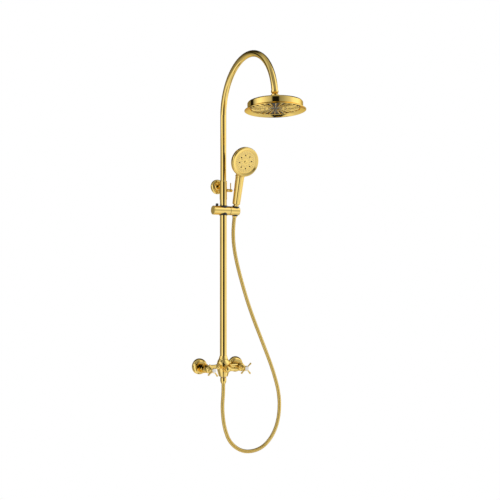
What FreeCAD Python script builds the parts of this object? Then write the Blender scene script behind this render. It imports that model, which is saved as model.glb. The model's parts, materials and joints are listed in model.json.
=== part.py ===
"""Exposed rainfall shower column: wall valve, telescopic riser, gooseneck, head, slider and handset.

Millimetres. +Z is up, +X runs along the wall and -Y points out of the wall.
The origin lies on the wall, half way between the two inlet studs.
"""
import FreeCAD, Part
import math
import os
import re
import Sketcher

SIZES = {
    "inlet_half": 75, "standoff": 50, "stud_radius": 10.48, "stud_depth": 14,
    "valve_half": 67, "valve_drop": 5.5, "bar_rise": 1.5, "bar_radius": 6.8,
    "housing_radius": 14.5, "spigot_radius": 12, "cartridge_radius": 10.1, "spindle_radius": 4,
    "core_radius": 23.5, "core_foot": -36, "waterway": 8, "nipple_radius": 8.33,
    "diverter_drop": 6.5, "diverter_cartridge_radius": 9, "diverter_spindle_radius": 3.5,
    "riser_radius": 12.5, "riser_bore": 11.08, "riser_foot": 12, "riser_top": 634,
    "pipe_radius": 11, "pipe_bore": 9.4, "pipe_foot": 400,
    "sleeve_radius": 13.5, "sleeve_foot": 613, "sleeve_top": 681, "lock_height": 647.5,
    "bracket_height": 663.8, "bracket_arm_radius": 8.5, "plate_stud": 5, "plate_hole": 2.75,
    "arch_radius": 181.5, "arch_height": 921.5, "arm_lean": 5.1, "ball_drop": 12,
    "ball_radius": 8.5, "ball_neck": 5.2, "head_tilt": 2.6, "band_radius": 91.5,
    "rim_radius": 101.5, "face_opening": 84, "head_nozzle": 1.25,
    "slider_height": 573, "slider_radius": 16.5, "slider_left": 40, "slider_right": 23.6,
    "bush_bore": 12.56, "bush_radius": 14.5, "button_radius": 5, "button_offset": 26,
    "holder_start": 25.2, "holder_length": 39, "handset_offset": 50, "handset_lean": 16,
    "pivot_radius": 4, "cone_small": 8.2, "cone_large": 9.6, "cone_half": 24,
    "grip_radius": 14.4, "grip_top": 133, "neck_radius": 15.6, "disc_radius": 53.6,
    "disc_height": 187, "disc_back": 6, "face_radius": 41.6, "handset_nozzle": 0.85,
    "hose_radius": 7, "hose_end": -62, "slip_gap": 0.05, "turn_gap": 0.06, "body_gap": 0.3,
}

doc = FreeCAD.newDocument("ShowerColumn")
sheet = doc.addObject("Spreadsheet::Sheet", "Sizes")
for row, (alias, number) in enumerate(SIZES.items(), start=1):
    sheet.set(f"A{row}", alias)
    sheet.set(f"B{row}", str(number))
    sheet.setAlias(f"B{row}", alias)
doc.recompute()

V = FreeCAD.Vector
Turn = FreeCAD.Rotation
UP = Turn()
OUT = Turn(V(1, 0, 0), 90)
RIGHT = Turn(V(0, 1, 0), 90)
DOWN = Turn(V(1, 0, 0), 180)
ARCH = Turn(V(1, 1, 1), 120)
DOME = "dome"
pieces = {}


def bind(text):
    """A formula of plain aliases, as an expression on the sheet."""
    return re.sub(r"[a-z_]+", lambda word: "Sizes." + word.group(0), str(text))


def size(text):
    """The value of a formula of aliases."""
    return float(sheet.evalExpression(re.sub(r"Sizes\.", "", bind(text))))


def place(x, y, z, turn=UP, frame=None):
    """A placement, from formulas or numbers, inside a frame if one is given."""
    local = FreeCAD.Placement(V(size(x), size(y), size(z)), turn)
    return frame.multiply(local) if frame else local


def add(kind, name, where=None, **sizes):
    """A Part primitive whose sizes are bound to the sheet."""
    thing = doc.addObject(kind, name)
    for key, formula in sizes.items():
        thing.setExpression(key, bind(formula))
    if where:
        thing.Placement = where
    return thing


def rod(name, radius, length, where):
    return add("Part::Cylinder", name, where, Radius=radius, Height=length)


def block(name, length, width, height, where):
    return add("Part::Box", name, where, Length=length, Width=width, Height=height)


def middle_of_dome(start, end):
    """The point half way round an arc whose centre is on the axis, and that centre's height."""
    rise = 2 * (end.y - start.y)
    height = (end.x ** 2 - start.x ** 2 + end.y ** 2 - start.y ** 2) / rise
    centre = V(0, height, 0)
    bisector = (start - centre).normalize() + (end - centre).normalize()
    return centre + bisector.normalize() * (start - centre).Length


def turned(name, outline, where):
    """A body revolved about its own Z from an outline of (radius, height) corners.

    A corner with four values is reached by an arc through its first pair, and one that ends in
    DOME by an arc centred on the axis. The sketcher keeps arcs anticlockwise, so a clockwise one
    is drawn from its far end.
    """
    body = doc.addObject("PartDesign::Body", name)
    plane = [f for f in body.Origin.OriginFeatures if f.Role == "XZ_Plane"][0]
    sketch = body.newObject("Sketcher::SketchObject", name + "_outline")
    sketch.AttachmentSupport = (plane, [""])
    sketch.MapMode = "FlatFace"
    ends = [c[:2] if c[-1] == DOME else c[-2:] for c in outline]
    spots = [V(size(r), size(h), 0) for r, h in ends]
    count = len(outline)
    first = [1] * count
    last = [2] * count
    middles = {}
    for i in range(count):
        after = outline[(i + 1) % count]
        start = spots[i]
        end = spots[(i + 1) % count]
        if len(after) == 2:
            sketch.addGeometry(Part.LineSegment(start, end), False)
            continue
        middle = middle_of_dome(start, end)
        if len(after) == 4:
            middle = V(size(after[0]), size(after[1]), 0)
            middles[i] = (after[0], after[1], middle)
        if (middle - start).cross(end - middle).z < 0:
            start, end = end, start
            first[i], last[i] = 2, 1
        sketch.addGeometry(Part.Arc(start, middle, end), False)
    for i in range(count):
        after = (i + 1) % count
        sketch.addConstraint(Sketcher.Constraint("Coincident", i, last[i], after, first[after]))
        if outline[after][-1] == DOME:
            sketch.addConstraint(Sketcher.Constraint("PointOnObject", i, 3, -2))
    for i, (r, h) in enumerate(ends):
        pin(sketch, i, first[i], r, h, spots[i])
    for i, (r, h, middle) in middles.items():
        dot = sketch.addGeometry(Part.Point(middle), True)
        sketch.addConstraint(Sketcher.Constraint("PointOnObject", dot, 1, i))
        pin(sketch, dot, 1, r, h, middle)
    spin = body.newObject("PartDesign::Revolution", name + "_turn")
    spin.Profile = sketch
    spin.ReferenceAxis = (sketch, ["V_Axis"])
    spin.Angle = 360
    body.Placement = where
    return body


def pin(sketch, geometry, point, r, h, spot):
    """Fix a sketch point at a radius and a height given by formulas."""
    for axis, formula, value, line in (("X", r, spot.x, -2), ("Y", h, spot.y, -1)):
        if abs(value) < 1e-9:
            sketch.addConstraint(Sketcher.Constraint("PointOnObject", geometry, point, line))
        else:
            rule = Sketcher.Constraint("Distance" + axis, -1, 1, geometry, point, value)
            number = sketch.addConstraint(rule)
            sketch.setExpression(f"Constraints[{number}]", bind(formula))


def fuse(name, shapes):
    thing = doc.addObject("Part::MultiFuse", name)
    thing.Shapes = shapes
    return thing


def cut(name, base, tools):
    """Cut each tool from the base in turn, so that crossing bores need no joint tool."""
    for number, tool in enumerate(tools, start=1):
        thing = doc.addObject("Part::Cut", f"{name}_{number}")
        thing.Base = base
        thing.Tool = tool
        base = thing
    return base


def common(name, shapes):
    thing = doc.addObject("Part::MultiCommon", name)
    thing.Shapes = shapes
    return thing


def group(name, things):
    thing = doc.addObject("Part::Compound", name)
    thing.Links = things
    return thing


def piece(node, thing):
    """Name a finished sub-part, which becomes a node."""
    thing.Label = node
    pieces[node] = thing
    return thing


def ring_of_rods(name, rings, radius, length, where):
    """Rods parallel to Z of the placement, rings given as (radius, count, first angle)."""
    rods = []
    for ring, (distance, count, start) in enumerate(rings):
        for i in range(count):
            angle = math.radians(start + 360 * i / count)
            x = size(distance) * math.cos(angle)
            y = size(distance) * math.sin(angle)
            spot = where.multiply(FreeCAD.Placement(V(x, y, 0), UP))
            rods.append(rod(f"{name}_{ring}_{i}", radius, length, spot))
    return group(name, rods)


POLE = "-standoff"

# the hose hangs free from the cone nut, loops to the right and comes up to the valve's outlet
HOSE_ROUTE = [
    (50, -43.371, 549.88), (50, -30.43, 504.75), (60, -23, 425), (88, -21, 325), (128, -22, 205),
    (183, -26, 75), (228, -31, -35), (255, -36, -140), (240, -41, -245), (180, -45, -318),
    (95, -48, -330), (30, -50, -290), (3, -50, -225), (-5, -50, -150), (0, -50, -102), (0, -50, -62),
]


# wall side of the valve, the same on both sides
def wall_union(side, sign):
    stud_x = f"{sign}*inlet_half"
    port_x = f"{sign}*valve_half"
    hub_x = f"{sign}*(inlet_half + valve_half)/2"
    solid = fuse(side + "_union_solid", [
        rod(side + "_stud", "stud_radius", "stud_depth + 6.5", place(stud_x, "stud_depth", 0, OUT)),
        rod(side + "_relief", 9.6, 3, place(stud_x, -6.4, 0, OUT)),
        rod(side + "_hub", 14, 6.5, place(hub_x, -7.5, "-valve_drop/2", OUT)),
        rod(side + "_neck", 7.5, 16, place(port_x, -13, "-valve_drop", OUT)),
        rod(side + "_collar", "spigot_radius", 3, place(port_x, -26, "-valve_drop", OUT)),
    ])
    piece(side + "_s_union", cut(side + "_union", solid, [
        rod(side + "_stud_bore", 6.5, "stud_depth + 10", place(stud_x, "stud_depth", 0, OUT)),
        rod(side + "_port_bore", 5, 20, place(port_x, -9, "-valve_drop", OUT)),
    ]))
    dome = turned(side + "_dome", [
        (27.2, 0), (29, 0), (29, 3), (27, 12, 19.5, 18.5), (19.5, 22), (0, 22), (0, 20),
        (16.5, 20), (17.6, 17.6), (25.2, 11.4, 27.2, 3),
    ], place(stud_x, 0, 0, OUT))
    piece(side + "_escutcheon", cut(side + "_rose", dome, [
        rod(side + "_rose_hole", 7.8, 6, place(port_x, -18, "-valve_drop", OUT))]))
    nut_place = place(port_x, -24, "-valve_drop", OUT)
    hexagon = add("Part::Prism", side + "_hexagon", nut_place, Circumradius=18.2, Height=13)
    hexagon.Polygon = 6
    rounded = common(side + "_nut_solid", [hexagon, turned(side + "_nut_barrel", [
        (0, 0), (16, 0), (17.8, 1.8), (17.8, 11.2), (16, 13), (0, 13),
    ], nut_place)])
    piece(side + "_union_nut", cut(side + "_nut", rounded, [
        rod(side + "_nut_rear", 7.6, 13, nut_place),
        rod(side + "_nut_bore", "spigot_radius + 0.1", 12, place(port_x, -25.95, "-valve_drop", OUT)),
    ]))
    return turned(side + "_washer", [
        (7, 0), (11.9, 0), (11.9, 1.9), (7, 1.9),
    ], place(port_x, -29.05, "-valve_drop", OUT))


# brass body: riser socket, side arms, two housings and the diverter boss
def valve_body():
    core = turned("core", [
        ("nipple_radius + 0.02", 0), (16.5, 0), (22, 19), ("core_radius", 31), ("core_radius", 42),
        (22.2, 53, 18, 62), ("riser_radius + slip_gap", 62), ("riser_radius + slip_gap", 48),
        ("waterway", 48), ("waterway", 14), ("nipple_radius + 0.02", 14),
    ], place(0, POLE, "core_foot"))
    bar = rod("bar", "bar_radius", "2*valve_half", place("-valve_half", POLE, "bar_rise", RIGHT))
    solids = [core, bar]
    bores = [
        rod("core_waterway", "waterway", 34, place(0, POLE, -22)),
        rod("bar_bore", 4.5, "2*valve_half - 14", place("7 - valve_half", POLE, "bar_rise", RIGHT)),
        rod("diverter_bore", "diverter_cartridge_radius + slip_gap", 24,
            place(0, "-standoff - 8", "-diverter_drop", OUT)),
    ]
    for side, sign in (("left", -1), ("right", 1)):
        x = f"{sign}*valve_half"
        z = "-valve_drop"
        flare_turn = RIGHT if sign < 0 else Turn(V(0, 1, 0), -90)
        solids.append(turned(side + "_flare", [
            (0, 0), ("bar_radius", 0), ("bar_radius + 1", 8, 13, 17), (0, 17),
        ], place(f"{sign}*37", POLE, "bar_rise", flare_turn)))
        solids.append(rod(side + "_housing", "housing_radius", 26, place(x, -38, z, OUT)))
        solids.append(rod(side + "_spigot", "spigot_radius", 8, place(x, -31, z, OUT)))
        bores.append(rod(side + "_cartridge_bore", "cartridge_radius + slip_gap", 20,
                         place(x, -45, z, OUT)))
        bores.append(rod(side + "_inlet_bore", 7, 16, place(x, -30, z, OUT)))
    solids.append(rod("boss", 13.5, 25, place(0, POLE, "-diverter_drop", OUT)))
    piece("valve_body", cut("body_cut", fuse("body_solid", solids), bores))


# one cross handle with its bonnet, cartridge, spindle, screw and index cap
def tap(name, sign, turn_angle):
    x = f"{sign}*valve_half"
    z = "-valve_drop"
    piece(name + "_cartridge", turned(name + "_cartridge_body", [
        (0, 0), ("cartridge_radius", 0), ("cartridge_radius", 25),
        ("spindle_radius + turn_gap", 25), ("spindle_radius + turn_gap", 4), (0, 4),
    ], place(x, -45, z, OUT)))
    piece(name + "_bonnet", turned(name + "_bonnet_ring", [
        ("cartridge_radius + slip_gap", 0), ("housing_radius - 0.5", 0), ("housing_radius - 0.5", 4),
        (12.8, 8, 9.5, 12), (8, 17), (7, 18), (7, 25), (5, 25), (5, 8),
        ("cartridge_radius + slip_gap", 8),
    ], place(x, -64.05, z, OUT)))
    piece(name + "_spindle", cut(name + "_spindle_cut",
        rod(name + "_spindle_rod", "spindle_radius", 53.4, place(x, -49.5, z, OUT)),
        [rod(name + "_tapping", 1.8, 12, place(x, -91, z, OUT))]))
    hub_place = place(x, -91, z, OUT)
    hub = turned(name + "_hub", [
        ("spindle_radius + slip_gap", 0), (7.4, 0), (8.8, 1.4), (8.8, 3), (6.6, 5), (7.6, 8),
        (9, 9), (9, 14), (8, 16.5), (6.3, 16.5), (6.3, 13.5), (1.9, 13.5), (1.9, 12),
        ("spindle_radius + slip_gap", 12),
    ], hub_place)
    solids = [hub]
    for i in range(4):
        spin = Turn(V(0, 0, 1), turn_angle + 90 * i).multiply(RIGHT)
        solids.append(turned(f"{name}_spoke_{i}", [
            (0, 6.5), (3, 6.5), (2.6, 11), (2.3, 16), (3.2, 24), (0, 28, DOME),
        ], place(0, 0, 11, spin, hub_place)))
    piece(name + "_handle", fuse(name + "_cross", solids))
    piece(name + "_handle_screw", turned(name + "_screw", [
        (0, 0), (1.75, 0), (1.75, 9), (3.8, 9), (3.8, 11), (1.5, 11), (1.5, 10), (0, 10),
    ], place(x, -95.5, z, OUT)))
    piece(name + "_index_cap", turned(name + "_cap", [
        (0, 0), (6.25, 0), (6.25, 0.85), (7.5, 0.85), (7.5, 1.8), (0, 3.4, DOME),
    ], place(x, -106.65, z, OUT)))


def diverter():
    z = "-diverter_drop"
    piece("diverter_cartridge", turned("diverter_cartridge_body", [
        (0, 0), ("diverter_cartridge_radius", 0), ("diverter_cartridge_radius", 20),
        ("diverter_spindle_radius + turn_gap", 20), ("diverter_spindle_radius + turn_gap", 4), (0, 4),
    ], place(0, -58, z, OUT)))
    piece("diverter_bonnet", turned("diverter_ring", [
        ("diverter_cartridge_radius + 0.1", 0), (13, 0), (13, 3), (11.5, 5),
        ("diverter_cartridge_radius + 0.1", 5),
    ], place(0, -75.05, z, OUT)))
    piece("diverter_spindle", rod("diverter_rod", "diverter_spindle_radius", 27,
                                  place(0, -62.5, z, OUT)))
    hub_place = place(0, -80.5, z, OUT)
    hub = turned("diverter_hub", [
        ("diverter_spindle_radius + slip_gap", 0), (9.5, 0), (10.4, 1), (10.4, 9.5),
        (0, 14, DOME), (0, 9.1), ("diverter_spindle_radius + slip_gap", 9.1),
    ], hub_place)
    lever = turned("lever", [
        (0, 4.2), (6.4, 4.2), (6.8, 9), (5.2, 24), (5.4, 37), (0, 42, DOME),
    ], place(0, 0, 6.9, Turn(V(0, 0, 1), -6).multiply(RIGHT), hub_place))
    piece("diverter_lever", cut("lever_cut", fuse("lever_solid", [hub, lever]), [
        rod("lever_bore", "diverter_spindle_radius + slip_gap", 9.1, hub_place)]))


def riser():
    piece("riser_nut", turned("riser_nut_cone", [
        ("riser_radius + slip_gap", 0), (17.6, 0), (17.6, 1.5), (16.6, 2.5), (15, 8, 13.6, 13.5),
        ("riser_radius + slip_gap", 13.5),
    ], place(0, POLE, 26.05)))
    piece("riser_pole", turned("riser_tube", [
        ("riser_bore", 0), ("riser_radius", 0), ("riser_radius", "riser_top - riser_foot"),
        ("riser_bore", "riser_top - riser_foot"),
    ], place(0, POLE, "riser_foot")))
    sleeve = turned("sleeve_tube", [
        ("riser_radius + slip_gap", 0), ("sleeve_radius", 0),
        ("sleeve_radius", "sleeve_top - sleeve_foot - 2"),
        ("sleeve_radius - 1.2", "sleeve_top - sleeve_foot"), ("riser_bore", "sleeve_top - sleeve_foot"),
        ("riser_bore", "riser_top - sleeve_foot"), ("riser_radius + slip_gap", "riser_top - sleeve_foot"),
    ], place(0, POLE, "sleeve_foot"))
    piece("riser_sleeve", cut("sleeve_cut", sleeve, [
        rod("lock_hole", 3.06, 6, place(10, POLE, "lock_height", RIGHT))]))


def bracket():
    wall = place(0, 0, "bracket_height", OUT)
    plate = turned("plate", [
        (0, 0), (20, 0), (20, 4), ("plate_stud", 4), ("plate_stud", 22), (0, 22),
    ], wall)
    piece("wall_plate", cut("plate_cut", plate, [
        rod("plate_hole_left", "plate_hole", 6, place(-13, 1, "bracket_height", OUT)),
        rod("plate_hole_right", "plate_hole", 6, place(13, 1, "bracket_height", OUT))]))
    arm = rod("arm_rod", "bracket_arm_radius", 40, place(0, -4.05, "bracket_height", OUT))
    piece("bracket_arm", cut("arm_cut", arm, [
        rod("arm_bore", "plate_stud + slip_gap", 20, place(0, -4.05, "bracket_height", OUT)),
        rod("arm_saddle", "sleeve_radius + slip_gap", 60, place(0, POLE, "bracket_height - 30")),
        rod("grub_hole", 1.95, 6, place(0, -16, "bracket_height - 4", DOWN))]))
    piece("bracket_grub_screw", rod("grub", 1.9, 3.2, place(0, -16, "bracket_height - 5.1", DOWN)))
    piece("bracket_escutcheon", turned("bracket_dome", [
        (25.2, 0), (27, 0), (27, 2.5), (24.4, 9.5, 14.5, 13), (12.5, 15.5), (8.6, 15.5), (8.6, 12.5),
        (21.5, 9, 25.2, 2.5),
    ], wall))


def lock():
    head = turned("lock_head", [
        (0, 0), (3, 0), (3, 3.2), (5.5, 3.2), (5.5, 23), (2.2, 27.6), (0, 27.6),
    ], place(11.3, POLE, "lock_height", RIGHT))
    piece("lock_screw", cut("lock_cut", head, [
        rod("pin_hole", 2.02, 8, place(30.3, POLE, "lock_height"))]))
    piece("lock_pin", turned("pin_rod", [
        (0, 0), (2, 0), (2, 26.5), (0, 28.5, DOME),
    ], place(30.3, POLE, "lock_height")))


# the gooseneck is a straight tube and one arc, which stops just short of hanging straight down
def gooseneck():
    span = "arch_height - pipe_foot"
    centre = place(0, "-standoff - arch_radius", "arch_height", ARCH)
    solids = []
    for part, radius in (("pipe", "pipe_radius"), ("bore", "pipe_bore")):
        straight = rod(part + "_straight", radius, span, place(0, POLE, "pipe_foot"))
        bend = add("Part::Torus", part + "_bend", centre, Radius1="arch_radius", Radius2=radius)
        bend.setExpression("Angle3", "180 - Sizes.arm_lean")
        solids.append(fuse(part + "_run", [straight, bend]))
    groove = turned("ring_groove", [
        ("pipe_radius - 1.05", -0.04), ("pipe_radius + 1", -0.04), ("pipe_radius + 1", 6.04),
        ("pipe_radius - 1.05", 6.04),
    ], place(0, POLE, "pipe_foot + 4"))
    piece("gooseneck_arm", cut("gooseneck", solids[0], [solids[1], groove]))
    piece("guide_ring", turned("ring", [
        ("pipe_radius - 1", 0), ("riser_bore - 0.06", 0), ("riser_bore - 0.06", 6), ("pipe_radius - 1", 6),
    ], place(0, POLE, "pipe_foot + 4")))


def ball_centre():
    """The ball hangs below the arm's end, in line with it."""
    lean = math.radians(size("arm_lean"))
    reach = size("arch_radius") * (1 + math.cos(lean)) + size("ball_drop") * math.sin(lean)
    height = size("arch_height") + size("arch_radius") * math.sin(lean)
    height -= size("ball_drop") * math.cos(lean)
    return V(0, size(POLE) - reach, height)


def head_joint(centre):
    arm = FreeCAD.Placement(centre, Turn(V(1, 0, 0), -size("arm_lean")))
    ball = turned("ball", [
        (0, "-ball_radius"), ("ball_neck", 6.7238, DOME), ("ball_neck", "ball_drop + 7"),
        (3.4, "ball_drop + 7"), (3.4, 2), (0, 2),
    ], arm)
    piece("swivel_ball", ball)
    piece("arm_end_nut", turned("end_nut", [
        ("ball_neck + slip_gap", 10.6), (11.4, 10.6), (12.5, 11.7), (12.5, 17.5), (11.2, 17.5),
        (11.2, 11.95), ("ball_neck + slip_gap", 11.95),
    ], arm))


def head(centre):
    frame = FreeCAD.Placement(centre, Turn(V(1, 0, 0), -size("head_tilt")))
    piece("ball_seal", turned("seal", [
        (8.715, -1.537, DOME), (10.636, -1.875), (6.942, -8.273, DOME), (5.689, -6.779),
    ], frame))
    piece("ball_collar", turned("collar", [
        (11.2, -16), (14.3, -16), (14.3, 3), (9, 8), (7.9, 8), (7.9, 4.2), (9, 1), (11.2, 0),
    ], frame))
    piece("head_shell", turned("shell", [
        (6, -11.3), (11.15, -11.3), (11.15, -16.1), (14.5, -16.1), (80, -19),
        (88.6, -20.4, "band_radius", -24), ("band_radius", -41), (89.3, -41), (89.3, -25),
        (86.5, -22.4, 80, -21.2), (14, -18.5), (6, -18.5),
    ], frame))
    piece("head_rim", turned("rim", [
        (87, -34), (89.2, -34), (89.2, -41.05), ("band_radius", -41.05),
        (95.4, -43.2, "rim_radius", -46.8), ("rim_radius", -48.4), (100.2, -49), (98.6, -48.4),
        (91, -44.6, "face_opening + 1", -42), ("face_opening", -41), ("face_opening", -39.2),
        (87, -39.2),
    ], frame))
    rows = [(distance, 24, 0) for distance in (22, 36, 50, 64, 77)]
    plate = rod("plate_disc", 86.9, 3, place(0, 0, -39.15, UP, frame))
    holes = ring_of_rods("head_hole", rows, "head_nozzle + slip_gap", 5, place(0, 0, -40, UP, frame))
    piece("spray_plate", cut("plate_holes", plate, [holes]))
    mat = rod("mat_disc", 82, 1.3, place(0, 0, -36.1, UP, frame))
    jets = ring_of_rods("head_jet", rows, "head_nozzle", 7, place(0, 0, -42.8, UP, frame))
    piece("nozzle_mat", fuse("mat", [mat, jets]))


def slider():
    centre = place(0, POLE, "slider_height")
    piece("slider_bush", turned("bush", [
        ("bush_bore", -17.8), (15.3, -17.8), (15.3, -16.9), ("bush_radius", -16.9),
        ("bush_radius", 16.9), (15.3, 16.9), (15.3, 17.8), ("bush_bore", 17.8),
    ], centre))
    barrel = rod("barrel", "slider_radius", "slider_left + slider_right",
                 place("-slider_left", POLE, "slider_height", RIGHT))
    piece("slider_body", cut("barrel_cut", barrel, [
        rod("bush_hole", "bush_radius + turn_gap", 40, place(0, POLE, "slider_height - 20")),
        rod("clamp_bore", 9.05, 23, place("-slider_left", POLE, "slider_height", RIGHT)),
        rod("button_hole", "button_radius + turn_gap", 20,
            place("-button_offset", POLE, "slider_height")),
        rod("pivot_hole", "pivot_radius + turn_gap", 10, place(16, POLE, "slider_height", RIGHT))]))
    piece("slider_end_cap", turned("end_cap", [
        (0, 0), (14.5, 0), (15.9, 0.5, 16.5, 1.9), (16.5, 3.45), (9, 3.45), (9, 8), (0, 8),
    ], place("-slider_left - 3.5", POLE, "slider_height", RIGHT)))
    piece("release_button", turned("button", [
        (0, 0), ("button_radius", 0), ("button_radius", 16.5), (3.8, 18), (0, 18),
    ], place("-button_offset", POLE, "slider_height + 7")))
    helix = Part.makeHelix(2.4, 14, 3.2)
    wire = Part.Wire(Part.makeCircle(0.4, V(3.2, 0, 0), V(0, 1, 0.12)))
    spring = doc.addObject("Part::Feature", "spring")
    spring.Shape = Part.Wire(helix).makePipeShell([wire], True, True)
    spring.Placement = place("-button_offset", POLE, "slider_height - 7.5")
    piece("button_spring", spring)


# the holder, the liner and the handset share a frame at the pivot that leans forward
def holder(frame):
    cap = turned("holder_barrel", [
        (0, 0), ("slider_radius", 0), ("slider_radius", "holder_length - 3.3"),
        (15.6, "holder_length - 0.9", 13.2, "holder_length"), (0, "holder_length"),
    ], place("holder_start", POLE, "slider_height", RIGHT))
    slot_place = place(0, "-hose_radius - 0.8", -25, UP, frame)
    piece("holder", cut("holder_cut", cap, [
        rod("liner_hole", 12, 50, place(0, 0, -25, UP, frame)),
        block("holder_slot", 25, "2*hose_radius + 1.6", 50, slot_place),
        rod("screw_hole", "pivot_radius + 0.02", 9,
            place("holder_start - 1", POLE, "slider_height", RIGHT))]))
    liner = turned("liner", [
        ("cone_small + 0.5", -17.5), (11.95, -17.5), (11.95, 16.8), (13.4, 16.8), (13.4, 18.3),
        ("cone_large + 0.13", 18.3),
    ], frame)
    piece("holder_liner", cut("liner_cut", liner, [
        block("liner_slot", 25, "2*hose_radius + 1.6", 50, slot_place)]))
    piece("holder_pivot_screw", rod("pivot", "pivot_radius", 16.5,
                                    place(16.5, POLE, "slider_height", RIGHT)))


def handset(frame):
    piece("hose_nut_top", turned("cone_nut", [
        (4.5, "-cone_half"), ("cone_small", "-cone_half"), ("cone_large", "cone_half"),
        (7.3, "cone_half"), (7.3, -4), (4.5, -4),
    ], frame))
    piece("handset_handle", turned("grip", [
        (5, 4), (7.2, 4), (7.2, "cone_half + 0.05"), (9.2, "cone_half + 0.05"),
        (13.2, "cone_half + 1.7", "grip_radius", "cone_half + 6"), (16, "grip_top - 6"),
        (17, "grip_top - 5"), (17, "grip_top - 1"), (16, "grip_top"), (11, "grip_top"),
        (10, "cone_half + 6"), (5, "cone_half + 1"),
    ], frame))
    front = place(0, "-disc_back", "disc_height", OUT, frame)
    bowl = turned("bowl", [
        (0, 0), (45, 4, DOME), (51.4, 7, "disc_radius", 12.5), ("disc_radius", 18),
        (52.7, 22.6, 49.5, 24.5), (42.4, 22.6), (41.9, 22), (41.9, 17), (38.5, 17), (38.5, 9),
        (0, 3, DOME),
    ], front)
    neck = turned("neck", [
        (0, "grip_top + 0.05"), ("neck_radius", "grip_top + 0.05"), ("neck_radius", "grip_top + 22"),
        (0, "grip_top + 36", DOME),
    ], frame)
    piece("handset_shell", cut("shell_cut", fuse("shell_solid", [bowl, neck]), [
        turned("bowl_hollow", [
            (0, 3), (38.5, 9, DOME), (38.5, 17), (41.9, 17), (41.9, 26), (0, 26),
        ], front),
        rod("neck_bore", 10, 24, place(0, 0, "grip_top - 1", UP, frame))]))
    face = turned("face", [
        (0, 17.05), ("face_radius", 17.05), ("face_radius", 21.4), (6, 21.4), (0, 23, DOME),
    ], front)
    rings = [(15, 12, 0), (19, 16, 0), (28.5, 24, 7.5), (32.5, 30, 0), (36.5, 34, 0)]
    tools = [
        ring_of_rods("dark_hole", [(24, 8, 7.5)], 2.7, 5, place(0, 0, 18.5, UP, front)),
        ring_of_rods("fine_hole", rings, "handset_nozzle + slip_gap", 6, place(0, 0, 16, UP, front)),
    ]
    piece("handset_face", cut("face_cut", face, tools))
    mat = rod("handset_mat_disc", 38.3, 1, place(0, 0, 16, UP, front))
    jets = ring_of_rods("fine_jet", rings, "handset_nozzle", 6.2, place(0, 0, 16, UP, front))
    piece("handset_nozzles", fuse("handset_mat", [mat, jets]))


def outlet():
    piece("outlet_nipple", turned("nipple", [
        (5.5, -50), ("nipple_radius", -50), ("nipple_radius", -41), (10.6, -41), (10.6, -36.05),
        ("nipple_radius", -36.05), ("nipple_radius", -24), (5.5, -24),
    ], place(0, POLE, 0)))
    piece("hose_washer", turned("washer", [
        (5, -52), (8.3, -52), (8.3, -50.05), (5, -50.05),
    ], place(0, POLE, 0)))
    piece("hose_nut_bottom", turned("hose_nut", [
        (4.5, "hose_end"), (8.8, "hose_end"), (9.6, "hose_end + 3"), (11.4, "hose_end + 9"),
        (11.4, -42), (8.45, -42), (8.45, -52.05), (4.5, -52.05),
    ], place(0, POLE, 0)))


def hose():
    """Straight runs joined by tangent arcs, each as large as its two runs allow."""
    points = [V(*p) for p in HOSE_ROUTE]
    edges = []
    spot = points[0]
    for before, corner, after in zip(points, points[1:], points[2:]):
        back = (before - corner).normalize()
        ahead = (after - corner).normalize()
        half_turn = (math.pi - back.getAngle(ahead)) / 2
        trim = 0.45 * min((before - corner).Length, (after - corner).Length)
        radius = trim / math.tan(half_turn)
        print(f"hose bend of {radius:.0f} mm, turning {math.degrees(2 * half_turn):.0f} degrees")
        start = corner + back * trim
        end = corner + ahead * trim
        to_centre = (back + ahead).normalize()
        middle = corner + to_centre * (radius / math.cos(half_turn) - radius)
        edges.append(Part.LineSegment(spot, start).toShape())
        edges.append(Part.Arc(start, middle, end).toShape())
        spot = end
    edges.append(Part.LineSegment(spot, points[-1]).toShape())
    path = Part.Wire(edges)
    along = points[1] - points[0]
    ring = Part.Wire(Part.makeCircle(size("hose_radius"), points[0], along))
    tube = doc.addObject("Part::Feature", "hose_tube")
    tube.Shape = path.makePipeShell([ring], True, False)
    section = math.pi * size("hose_radius") ** 2
    print(f"hose {path.Length:.0f} mm long, volume ratio {tube.Shape.Volume / section / path.Length:.4f}")
    piece("hose", tube)


washers = [wall_union("left", -1), wall_union("right", 1)]
piece("inlet_washers", group("washer_pair", washers))
valve_body()
tap("hot", -1, 36.5)
tap("cold", 1, 41)
diverter()
riser()
bracket()
lock()
gooseneck()
ball = ball_centre()
head_joint(ball)
head(ball)
slider()
tilt = place("handset_offset", POLE, "slider_height", Turn(V(1, 0, 0), size("handset_lean")))
holder(tilt)
handset(tilt)
outlet()
hose()
doc.recompute()

failed = [o.Name for o in doc.Objects if "Invalid" in o.State or "Error" in o.State]
for node, thing in pieces.items():
    if thing.Shape.isNull() or not thing.Shape.isValid() or thing.Shape.Volume <= 0:
        failed.append(node)
if failed:
    raise RuntimeError("these objects failed: " + ", ".join(failed))
os.makedirs("parts", exist_ok=True)
for node, thing in pieces.items():
    thing.Shape.exportStep(f"parts/{node}.step")
    print(f"{node}: {len(thing.Shape.Solids)} solid, {thing.Shape.Volume / 1000:.2f} cm3")
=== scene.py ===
"""Looks for the shower column: its finishes, spray faces, hose and studio. Lengths are in metres."""
import json
import math

import bpy
from mathutils import Matrix, Vector


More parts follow.
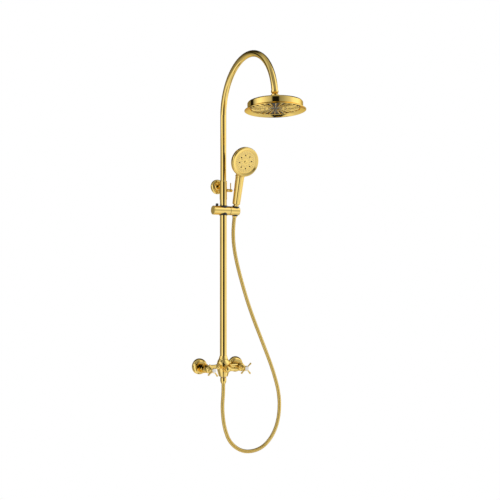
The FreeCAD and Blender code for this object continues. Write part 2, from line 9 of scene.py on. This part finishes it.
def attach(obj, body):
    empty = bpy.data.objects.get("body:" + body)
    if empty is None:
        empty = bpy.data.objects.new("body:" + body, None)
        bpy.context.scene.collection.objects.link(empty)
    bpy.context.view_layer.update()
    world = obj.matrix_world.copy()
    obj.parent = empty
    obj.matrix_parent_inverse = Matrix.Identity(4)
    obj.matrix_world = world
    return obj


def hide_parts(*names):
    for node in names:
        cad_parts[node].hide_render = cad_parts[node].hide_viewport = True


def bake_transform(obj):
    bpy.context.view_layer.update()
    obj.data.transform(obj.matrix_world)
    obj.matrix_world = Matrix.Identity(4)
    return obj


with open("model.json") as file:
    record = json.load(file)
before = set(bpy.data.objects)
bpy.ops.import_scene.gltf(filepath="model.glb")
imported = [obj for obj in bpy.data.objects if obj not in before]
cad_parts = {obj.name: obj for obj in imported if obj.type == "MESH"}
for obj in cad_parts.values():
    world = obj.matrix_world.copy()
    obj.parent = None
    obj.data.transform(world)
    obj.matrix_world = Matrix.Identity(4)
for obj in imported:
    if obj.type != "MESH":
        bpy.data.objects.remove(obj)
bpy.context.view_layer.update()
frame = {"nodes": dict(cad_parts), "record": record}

MM = 0.001


# ---------------------------------------------------------------- camera
CAMERA_SPOT = (-1.373, -2.655, 0.356)
HEADING = math.radians(-29.7)

cam_data = bpy.data.cameras.new("camera")
cam_data.lens = 57.66
cam_data.sensor_width = 36
cam_data.shift_y = 0.0391
cam = bpy.data.objects.new("camera", cam_data)
cam.location = CAMERA_SPOT
cam.rotation_euler = (math.radians(90), 0, HEADING)
bpy.context.scene.collection.objects.link(cam)
bpy.context.scene.camera = cam


# ---------------------------------------------------------------- materials
def new_material(name):
    """A node material with its tree, its shader and its object coordinates."""
    mat = bpy.data.materials.new(name)
    mat.use_nodes = True
    tree = mat.node_tree
    return mat, tree, tree.nodes["Principled BSDF"], tree.nodes.new("ShaderNodeTexCoord").outputs["Object"]


def noise(tree, where, scale, detail=3.0, stretch=None):
    """Noise at a scale per metre, stretched along an axis if asked."""
    if stretch:
        mapping = tree.nodes.new("ShaderNodeMapping")
        mapping.inputs["Scale"].default_value = stretch
        tree.links.new(where, mapping.inputs["Vector"])
        where = mapping.outputs["Vector"]
    tex = tree.nodes.new("ShaderNodeTexNoise")
    tex.inputs["Scale"].default_value = scale
    tex.inputs["Detail"].default_value = detail
    tree.links.new(where, tex.inputs["Vector"])
    return tex.outputs["Fac"]


def ramp(tree, fac, stops):
    """A colour that follows a number, through stops given as (number, colour)."""
    node = tree.nodes.new("ShaderNodeValToRGB")
    ends = node.color_ramp.elements
    ends[0].position, ends[0].color = stops[0][0], (*stops[0][1], 1)
    ends[1].position, ends[1].color = stops[-1][0], (*stops[-1][1], 1)
    for place, colour in stops[1:-1]:
        ends.new(place).color = (*colour, 1)
    tree.links.new(fac, node.inputs["Fac"])
    return node.outputs["Color"]


def bump(tree, shader, height, strength, distance):
    """Fine relief on a shader."""
    node = tree.nodes.new("ShaderNodeBump")
    node.inputs["Strength"].default_value = strength
    node.inputs["Distance"].default_value = distance
    tree.links.new(height, node.inputs["Height"])
    tree.links.new(node.outputs["Normal"], shader.inputs["Normal"])


def grey(value):
    """A neutral colour."""
    return (value, value, value)


DEEP_GOLD = (0.86, 0.62, 0.18)
PALE_GOLD = (0.92, 0.675, 0.215)


def gold(name, tint=1.0, rough=0.055, spots=60):
    """Polished gold coating with faint tone drift, water marks in the roughness and a fine ripple."""
    mat, tree, shader, where = new_material(name)
    shader.inputs["Metallic"].default_value = 1
    shader.inputs["Specular Tint"].default_value = (0.95, 0.75, 0.4, 1)
    drift = noise(tree, where, 9, 2)
    tones = [(0.3, [c * tint for c in DEEP_GOLD]), (0.7, [c * tint for c in PALE_GOLD])]
    tree.links.new(ramp(tree, drift, tones), shader.inputs["Base Color"])
    marks = noise(tree, where, spots, 6)
    polish = [(0.35, grey(rough)), (0.62, grey(rough * 1.25)), (0.75, grey(rough * 1.9))]
    tree.links.new(ramp(tree, marks, polish), shader.inputs["Roughness"])
    bump(tree, shader, noise(tree, where, 45, 1), 0.04, 0.3 * MM)
    return mat


def plain(name, dark, light, metal, rough, scale, stretch=None, coat=0.0):
    """A material whose tone, roughness and relief all follow one grain."""
    mat, tree, shader, where = new_material(name)
    shader.inputs["Metallic"].default_value = metal
    shader.inputs["Coat Weight"].default_value = coat
    shader.inputs["Coat Roughness"].default_value = 0.05
    grain = noise(tree, where, scale, 4, stretch)
    tree.links.new(ramp(tree, grain, [(0.3, dark), (0.7, light)]), shader.inputs["Base Color"])
    matt = [(0.3, grey(rough)), (0.7, grey(rough * 1.35))]
    tree.links.new(ramp(tree, grain, matt), shader.inputs["Roughness"])
    bump(tree, shader, grain, 0.05, 0.2 * MM)
    return mat


FINISHES = {
    "polished_gold": gold("polished_gold"),
    # the ribs' gold is rougher, a satin finish, and its tint of 1.04 is a painted highlight: a paler gold
    # that lifts the ribs' brightness
    "rib_gold": gold("rib_gold", 1.04, 0.2, 300),
    "gold_plated_plastic": gold("gold_plated_plastic", 0.99, 0.075, 90),
    "hose_gold": gold("hose_gold", 0.85, 0.11, 400),
    "plain_brass": plain("plain_brass", (0.50, 0.34, 0.13), (0.62, 0.44, 0.19), 1, 0.26, 60, (1, 1, 9)),
    "white_porcelain": plain("white_porcelain", (0.84, 0.82, 0.77), (0.9, 0.885, 0.845), 0, 0.16, 120,
                             coat=0.6),
    "black_plastic": plain("black_plastic", (0.012, 0.012, 0.013), (0.024, 0.024, 0.026), 0, 0.4, 900),
    "sand_rubber": plain("sand_rubber", (0.62, 0.47, 0.2), (0.74, 0.59, 0.3), 0, 0.38, 500),
    "grey_rubber": plain("grey_rubber", (0.11, 0.11, 0.11), (0.17, 0.17, 0.165), 0, 0.62, 700),
    "steel": plain("steel", (0.5, 0.5, 0.51), (0.62, 0.62, 0.62), 1, 0.28, 80, (1, 1, 6)),
}
for row in frame["record"]["subparts"]:
    mesh = frame["nodes"][row["node"]].data
    mesh.materials.clear()
    mesh.materials.append(FINISHES[row["material_slot"]])


# ---------------------------------------------------------------- mesh pieces
def skinned(name, solids, material, where=None):
    """One smooth object of closed skins, each a list of rings of points."""
    points = []
    faces = []
    for rings in solids:
        count = len(rings[0])
        base = len(points)
        for ring in rings:
            points.extend(ring)
        last = base + (len(rings) - 1) * count
        for start in range(base, last, count):
            for i in range(count):
                j = (i + 1) % count
                faces.append((start + i, start + j, start + count + j, start + count + i))
        faces.append(tuple(reversed(range(base, base + count))))
        faces.append(tuple(range(last, last + count)))
    mesh = bpy.data.meshes.new(name)
    mesh.from_pydata([tuple(p) for p in points], [], faces)
    mesh.polygons.foreach_set("use_smooth", [True] * len(faces))
    if where:
        mesh.transform(where)
    mesh.materials.append(material)
    thing = bpy.data.objects.new(name, mesh)
    bpy.context.scene.collection.objects.link(thing)
    return thing


def ring_of(radius, height, x=0.0, y=0.0, count=12):
    """A ring of points round Z."""
    angles = [math.tau / count * i for i in range(count)]
    return [Vector((x + radius * math.cos(a), y + radius * math.sin(a), height)) for a in angles]


def turned(circles, profile):
    """A small turned body on every spot of circles, each (radius, count, first angle in degrees)."""
    solids = []
    for distance, count, first in circles:
        for i in range(count):
            angle = math.radians(first + 360 * i / count)
            x, y = distance * math.cos(angle), distance * math.sin(angle)
            solids.append([ring_of(r, h, x, y) for r, h in profile])
    return solids


# ---------------------------------------------------------------- rain head: ribs with rows of jets
# the ball's centre and the head's lean, then the plate's height from that centre
HEAD = Matrix.Translation((0, -0.41335, 0.92568)) @ Matrix.Rotation(math.radians(-2.6), 4, "X")
PLATE = -0.0391
RIBS = 24
RIB_INNER = 0.017
RIB_OUTER = 0.081
# half width and depth of a rib's section, from one foot over the crest to the other
RIB_SECTION = ((-1, 0), (-0.8, 0.5), (-0.5, 0.88), (-0.2, 1), (0.2, 1), (0.5, 0.88), (0.8, 0.5), (1, 0))
# share of the rib's length, half width and depth there in millimetres
RIB_TAPER = ((0, 0.2, 0.1), (0.02, 0.7, 1.6), (0.06, 1.0, 2.6), (0.5, 1.9, 4.6), (0.92, 2.8, 5.6),
             (0.98, 2.0, 3.2), (1, 0.4, 0.1))
JET_CIRCLES = [(r, RIBS, 0) for r in (0.022, 0.036, 0.05, 0.064, 0.077)]
# radius, and height from the plate
DISC = ((0.081, 0.0), (0.082, -0.0003), (0.0815, -0.0006), (0.006, -0.0006))
DROP = ((0.0013, -0.0005), (0.0013, -0.0052), (0.0011, -0.006), (0.0007, -0.0064), (0.0002, -0.0065))


def rib(angle):
    """A radial rib hanging from the plate, tapered at both ends."""
    along = Vector((math.cos(angle), math.sin(angle), 0))
    side = Vector((-along.y, along.x, 0))
    rings = []
    for share, width, depth in RIB_TAPER:
        middle = along * (RIB_INNER + (RIB_OUTER - RIB_INNER) * share) + Vector((0, 0, PLATE))
        rings.append([middle + side * (width * MM * across) - Vector((0, 0, depth * MM * down))
                      for across, down in RIB_SECTION])
    return rings


ribs = skinned("head_ribs", [rib(math.tau * i / RIBS) for i in range(RIBS)], FINISHES["rib_gold"], HEAD)
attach(ribs, "head")

disc_rings = [ring_of(r, PLATE + h, count=96) for r, h in DISC]
backing = skinned("head_backing", [disc_rings], FINISHES["black_plastic"], HEAD)
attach(backing, "head")

hung_drop = [(r, PLATE + h) for r, h in DROP]
drops = skinned("head_jets", turned(JET_CIRCLES, hung_drop), FINISHES["sand_rubber"], HEAD)
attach(drops, "head")
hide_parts("nozzle_mat")


# ---------------------------------------------------------------- handset face: fine jets and eight cups
# the handset's seat in its holder, then the back of its bowl, facing outwards
HOLDER = Matrix.Translation((0.05, -0.05, 0.573)) @ Matrix.Rotation(math.radians(16), 4, "X")
FACE = HOLDER @ Matrix.Translation((0, -0.006, 0.187)) @ Matrix.Rotation(math.radians(90), 4, "X")
BEAD_CIRCLES = [(0.015, 12, 0), (0.019, 16, 0), (0.0285, 24, 7.5), (0.0325, 30, 0), (0.0365, 34, 0)]
CUP_CIRCLES = [(0.024, 8, 7.5)]
# radius, and distance in front of the bowl's back
BEAD = ((0.0015, 0.0212), (0.0015, 0.0216), (0.0012, 0.0221), (0.0007, 0.02235), (0.0002, 0.0224))
CUP = ((0.0026, 0.01855), (0.0026, 0.0213), (0.0023, 0.0213), (0.0023, 0.0192), (0.0003, 0.0192))

beads = skinned("handset_jets", turned(BEAD_CIRCLES, BEAD), FINISHES["sand_rubber"], FACE)
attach(beads, "handset")
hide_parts("handset_nozzles")

cups = skinned("handset_cups", turned(CUP_CIRCLES, CUP), FINISHES["black_plastic"], FACE)
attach(cups, "handset")


# ---------------------------------------------------------------- hose
HOSE = [
    (0.05, -0.04337, 0.54988), (0.05, -0.03043, 0.50475), (0.06, -0.023, 0.425), (0.088, -0.021, 0.325),
    (0.128, -0.022, 0.205), (0.183, -0.026, 0.075), (0.228, -0.031, -0.035), (0.255, -0.036, -0.14),
    (0.24, -0.041, -0.245), (0.18, -0.045, -0.318), (0.095, -0.048, -0.33), (0.03, -0.05, -0.29),
    (0.003, -0.05, -0.225), (-0.005, -0.05, -0.15), (0, -0.05, -0.102), (0, -0.05, -0.062),
]
HOSE_DIAMETER = 0.014
HOSE_RELIEF = 0.0006
CORE_RADIUS = 0.0062
CORE_RELIEF = 0.0003
PITCH = 0.0031
SIDES = 14
# distances along the hose where its core ends and its upper two sections end
CORE_END = 0.03
TOP_END = 0.096
MID_END = 0.192


def route(points):
    """The points of a smooth line that has these as its control points."""
    curve = bpy.data.curves.new("route", "CURVE")
    curve.dimensions = "3D"
    curve.resolution_u = 220
    spline = curve.splines.new("NURBS")
    spline.points.add(len(points) - 1)
    for point, spot in zip(spline.points, points):
        point.co = (*spot, 1)
    spline.order_u = 3
    spline.use_endpoint_u = True
    thing = bpy.data.objects.new("route", curve)
    mesh = bpy.data.meshes.new_from_object(thing)
    spots = [v.co.copy() for v in mesh.vertices]
    bpy.data.meshes.remove(mesh)
    bpy.data.objects.remove(thing)
    return spots


def wound(name, spots, begins, outer, relief):
    """A tube with a fine winding, begins being its first point's distance along the hose."""
    rings = []
    gone = begins
    side = (spots[1] - spots[0]).normalized().orthogonal().normalized()
    for i, spot in enumerate(spots):
        if i:
            gone += (spot - spots[i - 1]).length
        after = spots[min(i + 1, len(spots) - 1)]
        before = spots[max(i - 1, 0)]
        heading = (after - before).normalized()
        side = (side - heading * side.dot(heading)).normalized()
        other = heading.cross(side)
        ring = []
        for k in range(SIDES):
            angle = math.tau * k / SIDES
            wave = 0.5 + 0.5 * math.cos(math.tau * gone / PITCH - angle)
            radius = outer - relief * (1 - wave) ** 2
            ring.append(spot + (side * math.cos(angle) + other * math.sin(angle)) * radius)
        rings.append(ring)
    tube = skinned(name, [rings], FINISHES["hose_gold"])
    return tube


line = route(HOSE)
reach = [0.0]
for a, b in zip(line, line[1:]):
    reach.append(reach[-1] + (b - a).length)


def first_past(distance):
    """The number of the hose's first point past a distance along it."""
    return next(i for i, s in enumerate(reach) if s > distance)


core_cut = first_past(CORE_END)
top_cut = first_past(TOP_END)
mid_cut = first_past(MID_END)
hose_top = wound("hose_top", line[:top_cut + 1], 0.0, HOSE_DIAMETER / 2, HOSE_RELIEF)
hose_mid = wound("hose_mid", line[top_cut:mid_cut + 1], reach[top_cut], HOSE_DIAMETER / 2, HOSE_RELIEF)
hose_low = wound("hose_low", line[mid_cut:], reach[mid_cut], HOSE_DIAMETER / 2, HOSE_RELIEF)
core = wound("hose_core", line[:core_cut], 0.0, CORE_RADIUS, CORE_RELIEF)

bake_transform(core)
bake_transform(hose_top)
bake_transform(hose_mid)
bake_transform(hose_low)
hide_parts("hose")


# ---------------------------------------------------------------- studio
# brightness by degrees to the right of the front, as seen from the object: tall soft boxes and dark flags
LOW_RING = [(-180, 0.35), (-135, 0.5), (-112, 0.2), (-96, 0.25), (-70, 0.5), (-56, 0.6), (-46, 1.25),
            (-18, 1.25), (-9, 0.03), (30, 0.02), (40, 0.45), (60, 0.6), (85, 1.15), (130, 1.25),
            (160, 0.8), (180, 0.35)]
HIGH_RING = [(-180, 0.3), (-126, 0.25), (-121, 0.01), (-106, 0.01), (-100, 0.4), (-90, 0.8), (-79, 1.2),
             (-64, 1.35), (-41, 0.9), (-18, 0.55), (-12, 0.01), (13, 0.01), (17, 0.3), (34, 0.48),
             (61, 0.85), (81, 1.3), (105, 1.4), (120, 1.2), (139, 0.6), (180, 0.3)]
UPPER_RING = [(-180, 0.02), (-125, 0.03), (-95, 0.7), (-70, 0.6), (-50, 0.3), (-25, 0.1), (-14, 0.6),
              (-6, 0.6), (5, 0.15), (42, 0.4), (60, 1.2), (95, 1.3), (118, 0.25), (132, 0.02), (180, 0.02)]
LOWER_RING = [(-180, 0.7), (-150, 0.8), (-125, 0.5), (-100, 0.3), (-80, 0.3), (-60, 0.9), (-14, 1.2),
              (-10, 0.02), (9, 0.02), (13, 0.9), (40, 0.8), (57, 0.95), (95, 1.25), (112, 0.2),
              (132, 0.4), (150, 0.85), (180, 0.7)]
GROUND_RING = [(-180, 0.02), (-169, 0.02), (-164, 1.0), (-90, 1.1), (0, 0.8), (90, 0.75), (164, 0.7),
               (169, 0.02), (180, 0.02)]
CEILING = 0.45
REAR_SHADE = 0.025
FLOOR_RADIUS = 1.7
FLOOR_BOTTOM = -1.07
FLOOR_TOP = -1.05
FLOOR_MIDDLE = -0.45
LAMP_SIZE = 1.4


def maths(tree, what, first, second):
    """A math node on two values, each a number or a socket."""
    node = tree.nodes.new("ShaderNodeMath")
    node.operation = what
    for socket, value in zip(node.inputs, (first, second)):
        if isinstance(value, (int, float)):
            socket.default_value = value
        else:
            tree.links.new(value, socket)
    return node.outputs[0]


def mixed(tree, fac, first, second):
    """The first colour where fac is 0 and the second where it is 1."""
    node = tree.nodes.new("ShaderNodeMix")
    node.data_type = "RGBA"
    tree.links.new(fac, node.inputs["Factor"])
    tree.links.new(first, node.inputs["A"])
    tree.links.new(second, node.inputs["B"])
    return node.outputs["Result"]


def band(tree, fac, stops):
    """A brightness that follows a number, through stops given as (number, brightness)."""
    return ramp(tree, fac, [(place, grey(value)) for place, value in stops])


def around(tree, turns, ring):
    """A ring of brightness about the vertical, turns being 0.5 at the front."""
    return band(tree, turns, [(0.5 + angle / 360, value) for angle, value in ring])


def even(tree, value):
    """One grey all over."""
    node = tree.nodes.new("ShaderNodeRGB")
    node.outputs[0].default_value = (value, value, value, 1)
    return node.outputs[0]


def surroundings(tree):
    """The boxes and flags round the object, which the metal reflects."""
    turn = tree.nodes.new("ShaderNodeMapping")
    turn.vector_type = "VECTOR"
    turn.inputs["Rotation"].default_value = (0, 0, -HEADING)
    tree.links.new(tree.nodes.new("ShaderNodeTexCoord").outputs["Generated"], turn.inputs["Vector"])
    split = tree.nodes.new("ShaderNodeSeparateXYZ")
    tree.links.new(turn.outputs["Vector"], split.inputs["Vector"])
    x, y, z = split.outputs
    angle = maths(tree, "ARCTAN2", x, maths(tree, "MULTIPLY", y, -1))
    turns = maths(tree, "ADD", maths(tree, "MULTIPLY", angle, 1 / math.tau), 0.5)
    height = maths(tree, "ADD", maths(tree, "MULTIPLY", z, 0.5), 0.5)

    ring = mixed(tree, band(tree, height, [(0.57, 0), (0.59, 1)]),
                 around(tree, turns, LOW_RING), around(tree, turns, HIGH_RING))
    ring = mixed(tree, band(tree, height, [(0.68, 0), (0.76, 1)]), ring, around(tree, turns, UPPER_RING))
    ring = mixed(tree, band(tree, height, [(0.38, 1), (0.42, 0)]), ring, around(tree, turns, LOWER_RING))

    rear = band(tree, turns, [(0.1, 1), (0.18, 0), (0.82, 0), (0.9, 1)])
    lifted = band(tree, height, [(0.66, 0), (0.72, 1), (0.9, 1), (0.95, 0)])
    ring = mixed(tree, maths(tree, "MULTIPLY", rear, lifted), ring, even(tree, REAR_SHADE))

    ends = mixed(tree, band(tree, height, [(0.4, 0), (0.6, 1)]),
                 around(tree, turns, GROUND_RING), even(tree, CEILING))
    return mixed(tree, band(tree, height, [(0.09, 1), (0.14, 0), (0.91, 0), (0.97, 1)]), ring, ends)


def studio_world():
    """White behind the object, and the surroundings in its reflections."""
    world = bpy.data.worlds.new("studio")
    bpy.context.scene.world = world
    world.use_nodes = True
    tree = world.node_tree
    reflected = tree.nodes["Background"]
    tree.links.new(surroundings(tree), reflected.inputs["Color"])
    white = tree.nodes.new("ShaderNodeBackground")
    white.inputs["Color"].default_value = (1, 1, 1, 1)
    pick = tree.nodes.new("ShaderNodeMixShader")
    tree.links.new(tree.nodes.new("ShaderNodeLightPath").outputs["Is Camera Ray"], pick.inputs["Fac"])
    tree.links.new(reflected.outputs[0], pick.inputs[1])
    tree.links.new(white.outputs[0], pick.inputs[2])
    tree.links.new(pick.outputs[0], tree.nodes["World Output"].inputs["Surface"])


def studio_floor():
    """A pale disc under the column that doesn't show in its reflections."""
    rings = [ring_of(FLOOR_RADIUS, height, 0, FLOOR_MIDDLE, 96) for height in (FLOOR_BOTTOM, FLOOR_TOP)]
    floor = skinned("floor", [rings], plain("floor", grey(0.86), grey(0.9), 0, 0.8, 3))
    floor.data.polygons.foreach_set("use_smooth", [False] * len(floor.data.polygons))
    floor.visible_glossy = False
    glow = floor.data.materials[0].node_tree.nodes["Principled BSDF"]
    glow.inputs["Emission Color"].default_value = (1, 1, 1, 1)
    glow.inputs["Emission Strength"].default_value = 0.5


def soft_light(name, spot, angles, energy):
    """A large weak lamp, turned by angles in degrees, that doesn't show in reflections."""
    lamp = bpy.data.lights.new(name, "AREA")
    lamp.energy = energy
    lamp.size = LAMP_SIZE
    thing = bpy.data.objects.new(name, lamp)
    thing.location = spot
    thing.rotation_euler = [math.radians(a) for a in angles]
    thing.visible_glossy = False
    bpy.context.scene.collection.objects.link(thing)


studio_world()
studio_floor()
soft_light("front_light", (-1.2, -2.2, 1.5), (55, 0, -28), 6)
soft_light("side_light", (1.8, -1.2, 0.6), (80, 0, 60), 4)
bpy.context.scene.view_settings.view_transform = "Standard"
